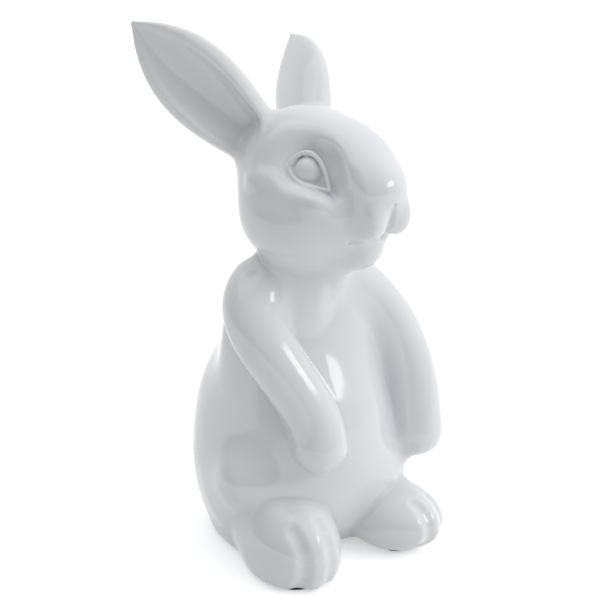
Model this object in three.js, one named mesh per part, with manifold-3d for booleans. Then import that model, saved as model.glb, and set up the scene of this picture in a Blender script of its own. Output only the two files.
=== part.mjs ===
// A seated rabbit ornament in glazed ceramic, as separate pieces: two hollow cast shells (torso and
// head) with solid limbs, ears, eyes and tail luted on, a slab that closes the base, and felt under it.
// Millimetres, +Z up, X towards the rabbit's left, -Y ahead of it, origin on the ground under the body.
import * as THREE from "three";
import { mergeVertices } from "three/addons/utils/BufferGeometryUtils.js";
import Module from "manifold-3d";

const wasm = await Module();
wasm.setup();

// Walls, seams, base slab and felt
const TORSO_WALL = 7;
const HEAD_WALL = 10;
const SEAM = 0.3; // gap at every luted or glued joint
const FELT_THICK = 1.6;
const BASE_FELT_WIDTH = 92;
const BASE_FELT_DEPTH = 66;
const BASE_FELT_BACK = 14;
const FOOT_FELT_WIDTH = { right: 34, left: 24 };
const FOOT_FELT_DEPTH = { right: 22, left: 16 };
const FOOT_FELT_AHEAD = { right: 19, left: 14 }; // of the foot's middle
const SLAB_THICK = 9;
const VENT_RADIUS = 6;
const NECK_BORE = 12; // radius of the passage from the torso's hollow to the head's

// Torso: a belly, a chest above it, and on each side a haunch, a thigh up to the knee and a hip along the
// ground, blended into a pear
const BELLY_WIDTH = 145;
const BELLY_DEPTH = 164;
const BELLY_RISE = 98; // from its widest level up to its top
const BELLY_FALL = 90; // from its widest level down, where it rounds in under itself
const BELLY_LEVEL = 78; // height of its widest level above the ground
const BELLY_BACK = 18.5;
const CHEST_WIDTH = 128;
const CHEST_DEPTH = 68;
const CHEST_HEIGHT = 138;
const CHEST_LEVEL = 164;
const CHEST_BACK = 5;
const CHEST_BLEND = 26;
const HAUNCH_WIDTH = 50;
const HAUNCH_DEPTH = 100;
const HAUNCH_HEIGHT = 88;
const HAUNCH_LEVEL = 34;
const HAUNCH_OUT = 46;
const HAUNCH_BACK = 6;
const HAUNCH_BLEND = 22;
const THIGH_HIP = [50, 4, 50]; // places beside, behind and above the middle of the base
const THIGH_KNEE = [62, -17, 64];
const THIGH_HIP_RADIUS = 20;
const THIGH_KNEE_RADIUS = 17.5;
const THIGH_BLEND = 12;
const HIP_REAR = [48, 28, 10];
const HIP_FRONT = [48, -34, 10];
const HIP_RADIUS = 12;
const HIP_BLEND = 12;

// Arms: each runs from the shoulder to the paw through four handles on the flank. A handle has its turn
// from straight ahead in degrees, its drop below the torso's top, its height off the flank, and the arm's
// radius there.
const ARMS = {
  right: [
    { turn: 93, drop: 30, off: -15.7, radius: 22 },
    { turn: 74, drop: 48, off: 28.8, radius: 21.5 },
    { turn: 22, drop: 95, off: 5.4, radius: 18.6 },
    { turn: 23, drop: 130.5, off: 8, radius: 18.6 },
  ],
  left: [
    { turn: 95, drop: 35, off: -19.8, radius: 21 },
    { turn: 81, drop: 70, off: 18.4, radius: 20.5 },
    { turn: 71, drop: 107, off: 23.7, radius: 21 },
    { turn: 64, drop: 152, off: 17.2, radius: 19 },
  ],
};

// Feet: each is one rounded form with its middle on the torso's skin, and two grooves that part three toes
const FOOT_TURN = { right: 42.7, left: 46.5 }; // degrees from straight ahead, round the torso
const FOOT_POINT = { right: 7, left: 15 }; // degrees that the toes point to the rabbit's left
const FOOT_WIDTH = 66;
const FOOT_LENGTH = 88;
const FOOT_HEIGHT = { right: 76, left: 51 };
const FOOT_LEVEL = 22;
const TOE_GROOVES = {
  right: [
    { out: -4, depth: 1.4 },
    { out: 18, depth: 2.2 },
  ],
  left: [
    { out: -6, depth: 2.4 },
    { out: 14, depth: 2 },
  ],
};
const GROOVE_TOP = 50; // degrees above level, seen from the foot's middle, where a groove starts
const GROOVE_BOTTOM = -40;
const GROOVE_STEPS = 6;
const GROOVE_RADIUS = 6.5; // at its lower end
const GROOVE_FADE = 1.5; // how much less that is at its upper end
const GROOVE_BLEND = 4;

// Tail
const TAIL_WIDTH = 48;
const TAIL_DEPTH = 44;
const TAIL_HEIGHT = 48;
const TAIL_LEVEL = 40;
const TAIL_OFF = 3.2; // its middle's distance behind the torso's skin

// Head, in its own frame: it sits above the torso's top and is turned to the rabbit's left
const HEAD_LIFT = 39;
const HEAD_AHEAD = 14;
const HEAD_TURN = 9; // degrees
const CRANIUM_WIDTH = 98;
const CRANIUM_DEPTH = 104;
const CRANIUM_HEIGHT = 102;
const CRANIUM_BACK = 8;
const CRANIUM_UP = 8;
const BROW_WIDTH = 60;
const BROW_DEPTH = 58;
const BROW_HEIGHT = 56;
const BROW_AHEAD = 22.5;
const BROW_UP = 22;
const BROW_BLEND = 12;
const SNOUT_WIDTH = 75;
const SNOUT_DEPTH = 84;
const SNOUT_HEIGHT = 74;
const SNOUT_AHEAD = 37;
const SNOUT_UP = 2.5;
const SNOUT_BLEND = 30;
const CHEEK_WIDTH = 60;
const CHEEK_DEPTH = 76;
const CHEEK_HEIGHT = 58;
const CHEEK_OUT = 27;
const CHEEK_AHEAD = 5;
const CHEEK_DROP = 16.5;
const CHEEK_BLEND = 18;
const LIP_WIDTH = 22;
const LIP_DEPTH = 24;
const LIP_HEIGHT = 30;
const LIP_OUT = 8.5;
const LIP_AHEAD = 65;
const LIP_DROP = 3;
const LIP_BLEND = 7;
const NECK_TOP = [4, -20]; // back from and above the head's middle
const NECK_ROOT = [16, -58];
const NECK_TOP_RADIUS = 31.5;
const NECK_ROOT_RADIUS = 28;
const THROAT_TOP = [-35, -30];
const THROAT_ROOT = [0, -60];
const THROAT_TOP_RADIUS = 14;
const THROAT_ROOT_RADIUS = 14;
const THROAT_BLEND = 18;
const CHIN_WIDTH = 34;
const CHIN_DEPTH = 41;
const CHIN_HEIGHT = 36;
const CHIN_AHEAD = 42;
const CHIN_DROP = 28;
const CHIN_BLEND = 12;
const MOUTH_BLEND = 4; // a crease at the mouth
const JAW_BLEND = 20; // that is a soft bend further back
const MOUTH_AHEAD = 58;
const MOUTH_LENGTH = 34; // way over which the crease fades

// Eyes: a ball between two lids in a deep socket, with a trench under the brow, a cheekbone below and a
// valley ahead. Places are ahead of, above and outside the ball's middle.
const EYE_RADIUS = 10.8;
const EYE_SINK = 18.1; // how deep the ball's middle lies under the head's mass
const EYE_TURN = 48.4; // degrees from straight ahead
const EYE_RISE = 33;
const LOOK_TURN = 62;
const LOOK_RISE = 20;
const SOCKET_LENGTH = 52;
const SOCKET_HEIGHT = 41;
const SOCKET_DEPTH = 32;
const SOCKET_PLACE = [1, 2.5, 20];
const SOCKET_BLEND = 5;
const CORNER_LENGTH = 26;
const CORNER_HEIGHT = 20;
const CORNER_DEPTH = 22;
const CORNER_PLACE = [14, -9, 17];
const CORNER_BLEND = 4;
const TRENCH = [
  { place: [-27, 6, 11], radius: 4.5 },
  { place: [-13, 23, 9], radius: 6 },
  { place: [13, 25, 8.5], radius: 7 },
  { place: [27, -10, 12], radius: 6 },
];
const TRENCH_STEPS = 8;
const TRENCH_BLEND = 6;
const VALLEY_TOP = [28, -8, 22];
const VALLEY_FOOT = [41, -38, 14.5];
const VALLEY_TOP_RADIUS = 10;
const VALLEY_FOOT_RADIUS = 9;
const VALLEY_BLEND = 10;
const CHEEKBONE_BACK = [-34, -8, 1.5];
const CHEEKBONE_FRONT = [12, -23, 9];
const CHEEKBONE_BACK_RADIUS = 8;
const CHEEKBONE_FRONT_RADIUS = 7.5;
const CHEEKBONE_BLEND = 7;
const UPPER_LID = [
  { place: [-17, 1, 6.5], radius: 1.6 },
  { place: [-10, 18, 9], radius: 2.5 },
  { place: [11, 20, 8.5], radius: 2.7 },
  { place: [20, -15, 9], radius: 1.4 },
];
const LOWER_LID = [
  { place: [-17, 1, 6.5], radius: 1.6 },
  { place: [-10, -14, 9.5], radius: 2.3 },
  { place: [6, -14.5, 9.5], radius: 2.3 },
  { place: [20, -15, 9], radius: 1.4 },
];

// Ears: scooped leaves that lean back and apart, the left one lower than the right
const EAR_LENGTH = { right: 117, left: 104 };
const EAR_RISE = { right: 41.6, left: 32.6 }; // degrees above level
const EAR_SPREAD = { right: 36.8, left: 29.7 }; // degrees out from straight back
const EAR_TWIST = { right: -4, left: -31 }; // degrees that the scoop is turned up from level
const EAR_ROOT = { right: [-27, 31.5, 34.3], left: [22.8, 32.4, 34] }; // way from the head's middle to the root
const EAR_SINK = { right: 6.2, left: 8.5 }; // how deep the root lies under the head's skin
const EAR_TANG = 12; // how far the ear is carried on below its root before it is trimmed
const EAR_HALF_WIDTHS = [20, 31.5, 41, 2.5]; // handles of its half width from root to tip
const EAR_HALF_THICKS = [14, 15, 11, 2.4];
const SCOOP_WIDTH = 0.76; // as shares of the ear's own width and thickness
const SCOOP_DEPTH = 1.6;
const SCOOP_RISE = 0.65; // how much shallower the scoop is at the tip
const SCOOP_OUT = 1.15;
const SCOOP_BLEND = 3;

// Fineness of the skins: into how many segments each edge of a ball of twenty faces is split, and how many
// rings and sides a limb has
const TORSO_SEGMENTS = 10;
const HEAD_SEGMENTS = 17;
const FOOT_SEGMENTS = 12;
const TAIL_SEGMENTS = 5;
const EYE_SEGMENTS = 4;
const TORSO_HOLLOW_SEGMENTS = 5;
const HEAD_HOLLOW_SEGMENTS = 8;
const LIMB_RINGS = 16;
const LIMB_SIDES = 16;
const LID_RINGS = 8;
const LID_SIDES = 8;
const EAR_RINGS = 14;
const EAR_SIDES = 24;
const CAP_RINGS = 3;
const FELT_SIDES = 48;
const BORE_SIDES = 32;

const SIDES = { right: -1, left: 1 };
const UP = new THREE.Vector3(0, 0, 1);
const ORIGIN = new THREE.Vector3();
const GROUND = FELT_THICK + SEAM; // level of the ceramic's flat underside
const FAR = 600; // larger than the whole ornament
const MARCH = 3; // step of the search for a skin
const HALVINGS = 20; // and how often its last step is halved

const point = (x, y, z) => new THREE.Vector3(x, y, z);
const radians = THREE.MathUtils.degToRad;

// Direction from a turn out of straight ahead, towards one side, and a rise above level
function heading(side, turn, rise = 0) {
  const level = Math.cos(radians(rise));
  const out = side * Math.sin(radians(turn)) * level;
  const back = -Math.cos(radians(turn)) * level;
  return point(out, back, Math.sin(radians(rise)));
}

// Fields: negative inside a form, positive outside it, and close to a distance near its skin
function ellipsoid(p, middle, size) {
  const offset = p.clone().sub(middle);
  const half = size.clone().multiplyScalar(0.5);
  const near = offset.clone().divide(half).length();
  const slope = offset.divide(half.multiply(half)).length();
  return slope < 1e-9 ? -Math.min(size.x, size.y, size.z) / 2 : (near * (near - 1)) / slope;
}

function taper(p, start, end, startRadius, endRadius) {
  const way = end.clone().sub(start);
  const share = THREE.MathUtils.clamp(p.clone().sub(start).dot(way) / way.lengthSq(), 0, 1);
  const nearest = start.clone().addScaledVector(way, share);
  return p.distanceTo(nearest) - THREE.MathUtils.lerp(startRadius, endRadius, share);
}

function channel(p, places, radii) {
  let field = Infinity;
  for (let i = 0; i + 1 < places.length; i++) {
    field = Math.min(field, taper(p, places[i], places[i + 1], radii[i], radii[i + 1]));
  }
  return field;
}

function join(a, b, blend) {
  const overlap = Math.max(blend - Math.abs(a - b), 0) / blend;
  return Math.min(a, b) - (overlap * overlap * blend) / 4;
}

const carve = (a, b, blend) => -join(-a, b, blend);

// Cubic blend of four handles, from 0 to 1
function along(handles, t) {
  const s = 1 - t;
  const [a, b, c, d] = handles;
  return s * s * s * a + 3 * s * s * t * b + 3 * s * t * t * c + t * t * t * d;
}

// Distance from a point inside a field to its skin
function reach(field, from, direction) {
  const at = (distance) => field(from.clone().addScaledVector(direction, distance));
  let outside = MARCH;
  while (at(outside) < 0 && outside < FAR) outside += MARCH;
  let inside = outside - MARCH;
  for (let i = 0; i < HALVINGS; i++) {
    const middle = (inside + outside) / 2;
    if (at(middle) < 0) inside = middle;
    else outside = middle;
  }
  return inside;
}

function ballOf(radius, segments) {
  const ball = new THREE.IcosahedronGeometry(radius, segments - 1);
  ball.deleteAttribute("normal");
  ball.deleteAttribute("uv");
  return mergeVertices(ball, 1e-4);
}

// A field's skin as a closed surface: the points of a ball moved along their rays from a middle
function wrap(field, middle, stretch, segments) {
  const skin = ballOf(1, segments);
  const places = skin.attributes.position;
  for (let i = 0; i < places.count; i++) {
    const ray = new THREE.Vector3().fromBufferAttribute(places, i).multiply(stretch).normalize();
    const place = middle.clone().addScaledVector(ray, reach(field, middle, ray));
    places.setXYZ(i, place.x, place.y, place.z);
  }
  return skin;
}

// A closed surface through rings of equal count, with a point at each end
function loft(rings, start, end) {
  const count = rings[0].length;
  const places = [start, ...rings.flat(), end];
  const index = [];
  const last = places.length - 1;
  for (let j = 0; j < count; j++) {
    const next = (j + 1) % count;
    index.push(0, 1 + next, 1 + j);
    for (let i = 0; i + 1 < rings.length; i++) {
      const a = 1 + i * count;
      const b = a + count;
      index.push(a + j, a + next, b + next, a + j, b + next, b + j);
    }
    index.push(last, last - count + j, last - count + next);
  }
  const skin = new THREE.BufferGeometry();
  skin.setAttribute("position", new THREE.Float32BufferAttribute(places.flatMap((v) => v.toArray()), 3));
  skin.setIndex(index);
  return skin;
}

// A round limb with domed ends along a cubic curve, its radius blended from four handles
function limb(handles, radii, rings, sides) {
  const curve = new THREE.CubicBezierCurve3(...handles);
  const frames = curve.computeFrenetFrames(rings);
  const ring = (t, frame, lift, tuck) => {
    const radius = along(radii, t);
    const middle = curve.getPoint(t).addScaledVector(frames.tangents[frame], lift * radius);
    return Array.from({ length: sides }, (_, j) => {
      const angle = (j / sides) * 2 * Math.PI;
      return middle
        .clone()
        .addScaledVector(frames.normals[frame], Math.cos(angle) * tuck * radius)
        .addScaledVector(frames.binormals[frame], Math.sin(angle) * tuck * radius);
    });
  };
  const dome = (t, frame, way) =>
    Array.from({ length: CAP_RINGS }, (_, i) => {
      const bend = ((i + 1) / (CAP_RINGS + 1)) * (Math.PI / 2);
      return ring(t, frame, way * Math.sin(bend), Math.cos(bend));
    });
  const shaft = Array.from({ length: rings + 1 }, (_, i) => ring(curve.getUtoTmapping(i / rings), i, 0, 1));
  const start = handles[0].clone().addScaledVector(frames.tangents[0], -radii[0]);
  const end = handles[3].clone().addScaledVector(frames.tangents[rings], radii[3]);
  return loft([...dome(0, 0, -1).reverse(), ...shaft, ...dome(1, rings, 1)], start, end);
}

// Solids, for the cuts and joins
function solid(geometry) {
  const bare = new THREE.BufferGeometry();
  bare.setAttribute("position", geometry.getAttribute("position").clone());
  bare.setIndex(geometry.index);
  const skin = mergeVertices(bare, 1e-4);
  const vertProperties = new Float32Array(skin.attributes.position.array);
  const triVerts = new Uint32Array(skin.index.array);
  return new wasm.Manifold(new wasm.Mesh({ numProp: 3, vertProperties, triVerts }));
}

function geometryOf(body) {
  const mesh = body.getMesh();
  const skin = new THREE.BufferGeometry();
  skin.setAttribute("position", new THREE.BufferAttribute(mesh.vertProperties, 3));
  skin.setIndex(new THREE.BufferAttribute(mesh.triVerts, 1));
  skin.computeVertexNormals();
  return skin;
}

// A piece trimmed to the ones that it is luted on. The offcuts fall away.
function trim(piece, neighbours) {
  const left = neighbours.reduce((rest, other) => rest.subtract(other), piece);
  return left.decompose().sort((a, b) => b.volume() - a.volume())[0];
}

// A slice of space between two levels
function layer(bottom, top) {
  const box = new THREE.BoxGeometry(FAR, FAR, top - bottom);
  return solid(box.translate(0, 0, (bottom + top) / 2));
}

function rod(radius, bottom, top, y = 0) {
  const round = new THREE.CylinderGeometry(radius, radius, top - bottom, BORE_SIDES);
  return solid(round.rotateX(Math.PI / 2).translate(0, y, (bottom + top) / 2));
}

// An oval felt sheet on the ground
function sheet(middle, width, depth) {
  const edge = Array.from({ length: FELT_SIDES }, (_, i) => {
    const angle = (i / FELT_SIDES) * 2 * Math.PI;
    return new THREE.Vector2(middle.x + (width / 2) * Math.cos(angle), middle.y + (depth / 2) * Math.sin(angle));
  });
  const flat = { depth: FELT_THICK, bevelEnabled: false };
  return solid(new THREE.ExtrudeGeometry(new THREE.Shape(edge), flat));
}

// Torso
const BELLY = point(0, BELLY_BACK, BELLY_LEVEL);
const BELLY_SIZE = point(BELLY_WIDTH, BELLY_DEPTH, 2 * BELLY_RISE);
const CHEST = point(0, CHEST_BACK, CHEST_LEVEL);
const CHEST_SIZE = point(CHEST_WIDTH, CHEST_DEPTH, CHEST_HEIGHT);
const HAUNCH_SIZE = point(HAUNCH_WIDTH, HAUNCH_DEPTH, HAUNCH_HEIGHT);
const THIGH = { hip: point(...THIGH_HIP), knee: point(...THIGH_KNEE) };
const HIP = { rear: point(...HIP_REAR), front: point(...HIP_FRONT) };

function torsoField(p) {
  const fromBelly = p.clone().sub(BELLY);
  if (fromBelly.z < 0) fromBelly.z *= BELLY_RISE / BELLY_FALL;
  let field = ellipsoid(fromBelly, ORIGIN, BELLY_SIZE);
  field = join(field, ellipsoid(p, CHEST, CHEST_SIZE), CHEST_BLEND);
  for (const side of Object.values(SIDES)) {
    const haunch = ellipsoid(p, point(side * HAUNCH_OUT, HAUNCH_BACK, HAUNCH_LEVEL), HAUNCH_SIZE);
    field = join(field, haunch, HAUNCH_BLEND);
    const own = point(side * p.x, p.y, p.z);
    field = join(field, taper(own, THIGH.hip, THIGH.knee, THIGH_HIP_RADIUS, THIGH_KNEE_RADIUS), THIGH_BLEND);
    field = join(field, taper(own, HIP.rear, HIP.front, HIP_RADIUS, HIP_RADIUS), HIP_BLEND);
  }
  return field;
}

const TORSO_TOP = CHEST.z + reach(torsoField, CHEST, UP);
const below = layer(-FAR, GROUND);

// A torso grown or shrunk all round
function torsoSkin(growth, segments) {
  return wrap((p) => torsoField(p) - growth, BELLY, BELLY_SIZE, segments);
}

// A point off the flank, at a level and a turn from straight ahead
function onFlank(side, turn, level, off) {
  const axis = point(0, 0, level);
  const out = heading(side, turn);
  return axis.addScaledVector(out, reach(torsoField, axis, out) + off);
}

function makeTorso() {
  const hollow = solid(torsoSkin(-TORSO_WALL, TORSO_HOLLOW_SEGMENTS));
  const bore = rod(NECK_BORE, CHEST.z, TORSO_TOP + TORSO_WALL, CHEST.y);
  return trim(solid(torsoSkin(0, TORSO_SEGMENTS)), [below, hollow, bore]);
}

function makeSlab() {
  const plug = solid(torsoSkin(-TORSO_WALL - SEAM, TORSO_HOLLOW_SEGMENTS));
  const vent = rod(VENT_RADIUS, -FAR, FAR);
  return plug.intersect(layer(GROUND, GROUND + SLAB_THICK)).subtract(vent);
}

// Feet
function footMiddle(name) {
  return onFlank(SIDES[name], FOOT_TURN[name], FOOT_LEVEL, 0);
}

const footSize = (name) => point(FOOT_WIDTH, FOOT_LENGTH, FOOT_HEIGHT[name]);

// A groove over the toes, in the foot's own frame: a round channel that is sunk by its depth
function toeGroove(name, groove) {
  const half = footSize(name).multiplyScalar(0.5);
  const out = SIDES[name] * groove.out;
  const shrink = Math.sqrt(1 - (out / half.x) ** 2);
  const places = [];
  const radii = [];
  for (let i = 0; i <= GROOVE_STEPS; i++) {
    const share = i / GROOVE_STEPS;
    const ray = heading(1, 0, THREE.MathUtils.lerp(GROOVE_TOP, GROOVE_BOTTOM, share));
    const far = half.clone().multiplyScalar(shrink).addScalar(GROOVE_RADIUS - groove.depth);
    places.push(point(out, 0, 0).add(ray.multiply(far)));
    radii.push(GROOVE_RADIUS - GROOVE_FADE * (1 - share));
  }
  return { places, radii };
}

// The field of one foot, in the rabbit's frame
function footField(name) {
  const middle = footMiddle(name);
  const size = footSize(name);
  const grooves = TOE_GROOVES[name].map((groove) => toeGroove(name, groove));
  return (p) => {
    const own = p.clone().sub(middle).applyAxisAngle(UP, -radians(FOOT_POINT[name]));
    const carveOne = (field, groove) => carve(field, channel(own, groove.places, groove.radii), GROOVE_BLEND);
    return grooves.reduce(carveOne, ellipsoid(own, ORIGIN, size));
  };
}

function footSkin(name, growth) {
  const field = footField(name);
  return wrap((p) => field(p) - growth, footMiddle(name), footSize(name), FOOT_SEGMENTS);
}

function makeFootFelt(name) {
  const middle = footMiddle(name);
  middle.y -= FOOT_FELT_AHEAD[name];
  return sheet(middle, FOOT_FELT_WIDTH[name], FOOT_FELT_DEPTH[name]);
}

// Arms
function makeArm(name) {
  const side = SIDES[name];
  const handles = ARMS[name].map((h) => onFlank(side, h.turn, TORSO_TOP - h.drop, h.off));
  const radii = ARMS[name].map((h) => h.radius);
  return solid(limb(handles, radii, LIMB_RINGS, LIMB_SIDES));
}

// Tail
function makeTail() {
  const size = point(TAIL_WIDTH, TAIL_DEPTH, TAIL_HEIGHT);
  const middle = onFlank(1, 180, TAIL_LEVEL, TAIL_OFF);
  return solid(wrap((p) => ellipsoid(p, middle, size), middle, size, TAIL_SEGMENTS));
}

// Head, in its own frame
const headGroup = new THREE.Group();
headGroup.position.set(0, -HEAD_AHEAD, TORSO_TOP + HEAD_LIFT);
headGroup.rotation.z = radians(HEAD_TURN);
headGroup.updateMatrix();

const CRANIUM = point(0, CRANIUM_BACK, CRANIUM_UP);
const CRANIUM_SIZE = point(CRANIUM_WIDTH, CRANIUM_DEPTH, CRANIUM_HEIGHT);
const BROW = point(0, -BROW_AHEAD, BROW_UP);
const BROW_SIZE = point(BROW_WIDTH, BROW_DEPTH, BROW_HEIGHT);
const SNOUT = point(0, -SNOUT_AHEAD, SNOUT_UP);
const SNOUT_SIZE = point(SNOUT_WIDTH, SNOUT_DEPTH, SNOUT_HEIGHT);
const CHEEK_SIZE = point(CHEEK_WIDTH, CHEEK_DEPTH, CHEEK_HEIGHT);
const LIP_SIZE = point(LIP_WIDTH, LIP_DEPTH, LIP_HEIGHT);
const CHIN = point(0, -CHIN_AHEAD, -CHIN_DROP);
const CHIN_SIZE = point(CHIN_WIDTH, CHIN_DEPTH, CHIN_HEIGHT);
const NECK = { top: point(0, ...NECK_TOP), root: point(0, ...NECK_ROOT) };
const THROAT = { top: point(0, ...THROAT_TOP), root: point(0, ...THROAT_ROOT) };
const FACE_CORE = SNOUT.clone().lerp(CRANIUM, 0.3); // rays from here give the face the finest skin

// The head without its eyes: skull, snout and lips above the mouth, and chin, throat and neck below it
function headMass(p) {
  let above = ellipsoid(p, CRANIUM, CRANIUM_SIZE);
  above = join(above, ellipsoid(p, BROW, BROW_SIZE), BROW_BLEND);
  above = join(above, ellipsoid(p, SNOUT, SNOUT_SIZE), SNOUT_BLEND);
  for (const side of Object.values(SIDES)) {
    const cheek = ellipsoid(p, point(side * CHEEK_OUT, -CHEEK_AHEAD, -CHEEK_DROP), CHEEK_SIZE);
    above = join(above, cheek, CHEEK_BLEND);
  }
  for (const side of Object.values(SIDES)) {
    const lip = ellipsoid(p, point(side * LIP_OUT, -LIP_AHEAD, -LIP_DROP), LIP_SIZE);
    above = join(above, lip, LIP_BLEND);
  }
  let under = taper(p, NECK.top, NECK.root, NECK_TOP_RADIUS, NECK_ROOT_RADIUS);
  const throat = taper(p, THROAT.top, THROAT.root, THROAT_TOP_RADIUS, THROAT_ROOT_RADIUS);
  under = join(under, throat, THROAT_BLEND);
  under = join(under, ellipsoid(p, CHIN, CHIN_SIZE), CHIN_BLEND);
  const fade = THREE.MathUtils.smoothstep(p.y, -MOUTH_AHEAD, MOUTH_LENGTH - MOUTH_AHEAD);
  return join(above, under, THREE.MathUtils.lerp(MOUTH_BLEND, JAW_BLEND, fade));
}

// An eye's own frame: ahead along the face, up, and out of the face, from the ball's middle
function eyeFrame(side) {
  const ray = heading(side, EYE_TURN, EYE_RISE);
  const middle = ray.clone().multiplyScalar(reach(headMass, ORIGIN, ray) - EYE_SINK);
  const out = heading(side, LOOK_TURN, LOOK_RISE);
  const ahead = UP.clone().cross(out).multiplyScalar(-side).normalize();
  const up = out.clone().cross(ahead).multiplyScalar(-side);
  return { middle, ahead, up, out };
}

const EYES = { right: eyeFrame(SIDES.right), left: eyeFrame(SIDES.left) };

function inEye(p, eye) {
  const offset = p.clone().sub(eye.middle);
  return point(offset.dot(eye.ahead), offset.dot(eye.up), offset.dot(eye.out));
}

function fromEye(eye, [ahead, up, out]) {
  const place = eye.middle.clone().addScaledVector(eye.ahead, ahead);
  return place.addScaledVector(eye.up, up).addScaledVector(eye.out, out);
}

const SOCKET = point(...SOCKET_PLACE);
const SOCKET_SIZE = point(SOCKET_LENGTH, SOCKET_HEIGHT, SOCKET_DEPTH);
const CORNER = point(...CORNER_PLACE);
const CORNER_SIZE = point(CORNER_LENGTH, CORNER_HEIGHT, CORNER_DEPTH);
const VALLEY = { top: point(...VALLEY_TOP), foot: point(...VALLEY_FOOT) };
const CHEEKBONE = { back: point(...CHEEKBONE_BACK), front: point(...CHEEKBONE_FRONT) };
const trenchCurve = new THREE.CubicBezierCurve3(...TRENCH.map((handle) => point(...handle.place)));
const trenchPlaces = trenchCurve.getPoints(TRENCH_STEPS);
const trenchRadii = trenchPlaces.map((_, i) => along(TRENCH.map((handle) => handle.radius), i / TRENCH_STEPS));

// The head with its eye sockets and what lies round them
function headField(p) {
  let field = headMass(p);
  for (const eye of Object.values(EYES)) {
    const own = inEye(p, eye);
    field = carve(field, ellipsoid(own, SOCKET, SOCKET_SIZE), SOCKET_BLEND);
    field = carve(field, ellipsoid(own, CORNER, CORNER_SIZE), CORNER_BLEND);
    field = carve(field, channel(own, trenchPlaces, trenchRadii), TRENCH_BLEND);
    const valley = taper(own, VALLEY.top, VALLEY.foot, VALLEY_TOP_RADIUS, VALLEY_FOOT_RADIUS);
    field = carve(field, valley, VALLEY_BLEND);
    const bone = taper(own, CHEEKBONE.back, CHEEKBONE.front, CHEEKBONE_BACK_RADIUS, CHEEKBONE_FRONT_RADIUS);
    field = join(field, bone, CHEEKBONE_BLEND);
  }
  return field;
}

function headSkin(growth, segments) {
  return wrap((p) => headField(p) - growth, FACE_CORE, CRANIUM_SIZE, segments);
}

function makeLid(eye, handles) {
  const places = handles.map((handle) => fromEye(eye, handle.place));
  const radii = handles.map((handle) => handle.radius);
  return solid(limb(places, radii, LID_RINGS, LID_SIDES));
}

function eyeSkin(eye, growth) {
  return ballOf(EYE_RADIUS + growth, EYE_SEGMENTS).translate(...eye.middle.toArray());
}

function makeHead() {
  let skin = solid(headSkin(0, HEAD_SEGMENTS));
  for (const eye of Object.values(EYES)) {
    skin = skin.add(makeLid(eye, UPPER_LID)).add(makeLid(eye, LOWER_LID));
  }
  const hollow = solid(headSkin(-HEAD_WALL, HEAD_HOLLOW_SEGMENTS));
  const torso = torsoSkin(SEAM, TORSO_SEGMENTS).applyMatrix4(headGroup.matrix.clone().invert());
  const sockets = Object.values(EYES).map((eye) => solid(eyeSkin(eye, SEAM)));
  return trim(skin, [hollow, solid(torso), ...sockets]);
}

// Ears, in the head's frame
function makeEar(name) {
  const side = SIDES[name];
  const rise = radians(EAR_RISE[name]);
  const axis = heading(side, 180 - EAR_SPREAD[name], EAR_RISE[name]);
  const level = UP.clone().cross(axis).multiplyScalar(-side).normalize();
  const lift = UP.clone().addScaledVector(axis, -Math.sin(rise)).normalize();
  const twist = radians(EAR_TWIST[name]);
  const face = level.clone().multiplyScalar(Math.cos(twist)).addScaledVector(lift, Math.sin(twist));
  const across = face.clone().cross(axis);
  const ray = point(...EAR_ROOT[name]).normalize();
  const root = ray.multiplyScalar(reach(headMass, ORIGIN, ray) - EAR_SINK[name]);

  // One cross-section: an oval, scooped on the side that it faces
  const section = (t, distance) => {
    const wide = along(EAR_HALF_WIDTHS, t);
    const thick = along(EAR_HALF_THICKS, t);
    const oval = point(2 * wide, 2 * thick, 2 * wide);
    const deep = SCOOP_DEPTH - SCOOP_RISE * t * t;
    const scoop = point(2 * wide * SCOOP_WIDTH, 2 * thick * deep, 2 * wide);
    const scoopMiddle = point(0, thick * SCOOP_OUT, 0);
    const field = (p) => carve(ellipsoid(p, ORIGIN, oval), ellipsoid(p, scoopMiddle, scoop), SCOOP_BLEND);
    const core = point(0, (-thick * (1 + deep - SCOOP_OUT)) / 2, 0);
    return Array.from({ length: EAR_SIDES }, (_, j) => {
      const angle = (j / EAR_SIDES) * 2 * Math.PI;
      const way = point(wide * Math.cos(angle), thick * Math.sin(angle), 0).normalize();
      const flat = core.clone().addScaledVector(way, reach(field, core, way));
      const place = root.clone().addScaledVector(axis, distance);
      return place.addScaledVector(across, flat.x).addScaledVector(face, flat.y);
    });
  };
  const length = EAR_LENGTH[name];
  const rings = [section(0, -EAR_TANG)];
  for (let i = 0; i < EAR_RINGS; i++) rings.push(section(i / EAR_RINGS, (i / EAR_RINGS) * length));
  const tip = root.clone().addScaledVector(axis, length);
  return solid(loft(rings, root.clone().addScaledVector(axis, -EAR_TANG), tip));
}

// Finishes
const glaze = new THREE.MeshStandardMaterial({ color: 0xeceef1, roughness: 0.12, metalness: 0 });
const bisque = new THREE.MeshStandardMaterial({ color: 0xd8cfc2, roughness: 0.8, metalness: 0 });
const felt = new THREE.MeshStandardMaterial({ color: 0x3b3b3d, roughness: 0.95, metalness: 0 });

function place(group, name, body, material) {
  const mesh = new THREE.Mesh(geometryOf(body), material);
  mesh.name = name;
  group.add(mesh);
}

const rabbit = new THREE.Group();
rabbit.add(headGroup);

const torsoSeat = solid(torsoSkin(SEAM, TORSO_SEGMENTS));
const headSeatLocal = headSkin(SEAM, HEAD_SEGMENTS);
const headSeat = solid(headSeatLocal.clone().applyMatrix4(headGroup.matrix));

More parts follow.
